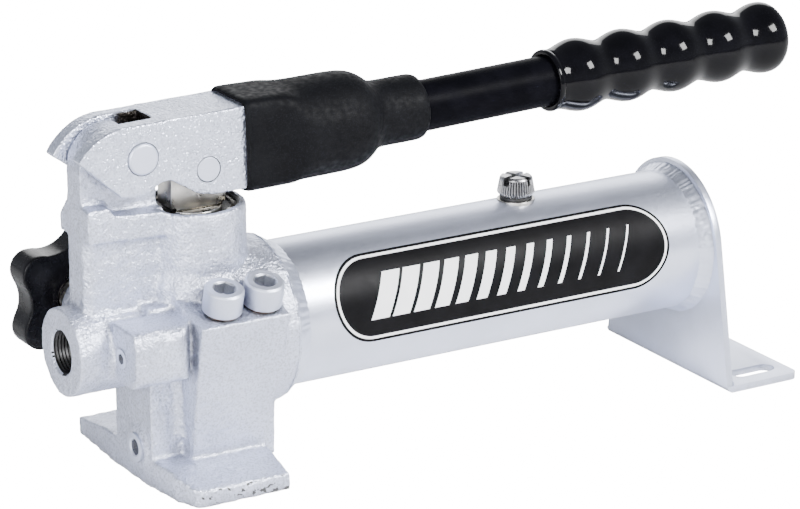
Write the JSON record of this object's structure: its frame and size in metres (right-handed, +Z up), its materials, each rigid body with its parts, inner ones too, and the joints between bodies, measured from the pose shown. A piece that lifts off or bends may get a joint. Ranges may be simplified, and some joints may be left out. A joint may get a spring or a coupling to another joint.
{
  "type": "hydraulic hand pump",
  "caption": "Single-acting hydraulic hand pump with a forked lever and long handle, cast head, horizontal reservoir tube, rear foot bracket, release knob and threaded outlet.",
  "frame": {"origin": "on the ground plane, under the piston axis, on the underside of the head's foot", "axes": "+X along the reservoir towards the rear bracket and the grip, +Y towards the release knob, +Z up"},
  "size_m": [0.3471, 0.102, 0.1566],
  "materials": {
    "cast_paint": "satin",
    "silver_paint": "satin",
    "steel": "machined",
    "spring_steel": "polished",
    "dark_steel": "oiled black oxide",
    "copper": "annealed",
    "seal_rubber": "matt",
    "ptfe": "matt",
    "black_paint": "gloss",
    "sleeve_rubber": "matt, fine grain",
    "grip_vinyl": "gloss dipped vinyl",
    "knob_plastic": "gloss moulded",
    "label_film": "satin film"
  },
  "bodies": {
    "pump": {"pump_head": "cast_paint", "reservoir_tube": "silver_paint", "front_weld": "silver_paint", "rear_bracket": "silver_paint", "rear_weld": "silver_paint", "filler_boss": "steel", "piston_seal": "seal_rubber", "backup_ring": "ptfe", "gland_nut": "dark_steel", "wiper_ring": "seal_rubber", "pivot_pin": "silver_paint", "release_gland": "steel", "release_oring": "seal_rubber", "valve_screws": "silver_paint", "valve_washers": "copper", "suction_spring": "spring_steel", "delivery_spring": "spring_steel", "relief_spring": "spring_steel", "front_plug": "steel", "suction_tube": "steel", "suction_strainer": "steel", "label": "label_film"},
    "lever": {"lever": "silver_paint", "piston_pin": "silver_paint", "handle_tube": "black_paint", "handle_cross_pin": "steel", "handle_sleeve": "sleeve_rubber", "handle_grip": "grip_vinyl"},
    "piston": {"piston": "steel"},
    "release_ball": {"release_ball": "spring_steel"},
    "release_knob": {"release_knob": "knob_plastic", "release_hub": "steel", "release_spindle": "steel"},
    "filler_seal": {"filler_cap_seal": "seal_rubber"},
    "filler_cap": {"filler_cap": "steel"},
    "suction_ball": {"suction_ball": "spring_steel"},
    "delivery_ball": {"delivery_ball": "spring_steel"},
    "relief_ball": {"relief_ball": "spring_steel"},
    "relief_screw": {"relief_screw": "steel"}
  },
  "joints": [
    {"name": "lever_pivot", "type": "hinge", "parent": "pump", "child": "lever", "pos_m": [-0.028, 0, 0.137], "axis": [0, -1, 0], "range_deg": [0, 38]},
    {"name": "piston_slide", "type": "slide", "parent": "pump", "child": "piston", "axis": [0, 0, 1], "range_m": [0, 0.0198]},
    {"name": "release_lift", "type": "slide", "parent": "pump", "child": "release_ball", "axis": [0, 1, 0], "range_m": [0, 0.0023]},
    {"name": "release_turn", "type": "hinge", "parent": "release_ball", "child": "release_knob", "pos_m": [-0.0347, 0.04, 0.068], "axis": [0, 1, 0], "range_deg": [0, 540]},
    {"name": "filler_lift", "type": "slide", "parent": "pump", "child": "filler_seal", "axis": [0, 0, 1], "range_m": [0, 0.0071]},
    {"name": "filler_turn", "type": "hinge", "parent": "filler_seal", "child": "filler_cap", "pos_m": [0.153, 0, 0.092], "axis": [0, 0, 1], "range_deg": [0, 2520]},
    {"name": "suction_lift", "type": "slide", "parent": "pump", "child": "suction_ball", "axis": [0, -0.2588, 0.9659], "range_m": [0, 0.0012], "stiffness_N_per_m": 300, "deforming": ["suction_spring"]},
    {"name": "delivery_lift", "type": "slide", "parent": "pump", "child": "delivery_ball", "axis": [0, -0.2588, 0.9659], "range_m": [0, 0.0012], "stiffness_N_per_m": 300, "deforming": ["delivery_spring"]},
    {"name": "relief_lift", "type": "slide", "parent": "pump", "child": "relief_ball", "axis": [-1, 0, 0], "range_m": [0, 0.0006], "stiffness_N_per_m": 2000},
    {"name": "relief_turn", "type": "hinge", "parent": "pump", "child": "relief_screw", "pos_m": [-0.0445, -0.024, 0.061], "axis": [-1, 0, 0], "range_deg": [-180, 180]}
  ],
  "couplings": [
    {"joint": "piston_slide", "follows": "lever_pivot", "m_per_rad": 0.0293},
    {"joint": "release_lift", "follows": "release_turn", "m_per_rad": 0.00023873},
    {"joint": "filler_lift", "follows": "filler_turn", "m_per_rad": 0.00015915}
  ]
}
